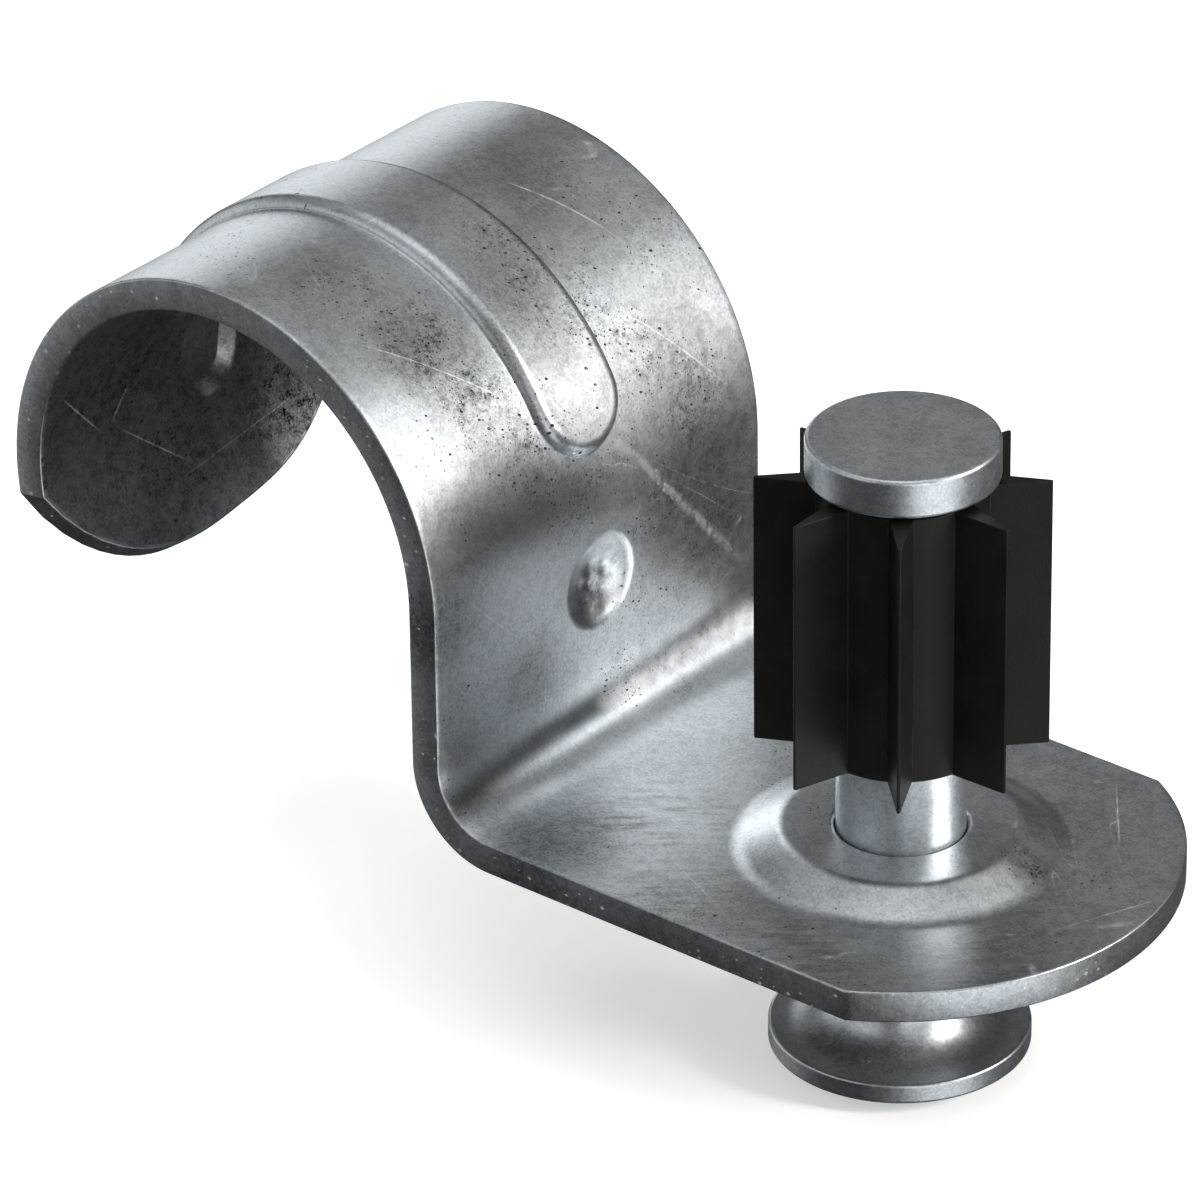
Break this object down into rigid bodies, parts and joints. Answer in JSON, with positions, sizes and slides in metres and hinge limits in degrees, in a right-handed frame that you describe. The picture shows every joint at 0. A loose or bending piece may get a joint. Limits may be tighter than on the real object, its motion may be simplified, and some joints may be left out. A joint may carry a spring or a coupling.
{
  "type": "conduit clip with captive drive pin",
  "caption": "Folded sheet-steel clip that hooks over a conduit, with a captive drive pin in a fluted sleeve and flanged collar through its fixing tab.",
  "frame": {"origin": "on the axis of the conduit in the hook, at the middle of the strap's width", "axes": "+X from the conduit to the pin, +Y along the conduit, +Z away from the wall that the tab lies on"},
  "size_m": [0.0513, 0.0214, 0.0316],
  "materials": {
    "strap_steel": "zinc-plated, smooth, lightly scratched",
    "pin_steel": "zinc-plated, satin",
    "sleeve_plastic": "moulded, matt black",
    "collar_steel": "zinc-plated, turned"
  },
  "bodies": {
    "strap": {"conduit_strap": "strap_steel"},
    "fastener": {"drive_pin": "pin_steel", "fluted_sleeve": "sleeve_plastic", "flanged_collar": "collar_steel"}
  },
  "joints": [
    {"name": "fastener_slide", "type": "slide", "parent": "strap", "child": "fastener", "axis": [0, 0, -1], "range_m": [-0.0062, 0.00385]}
  ]
}
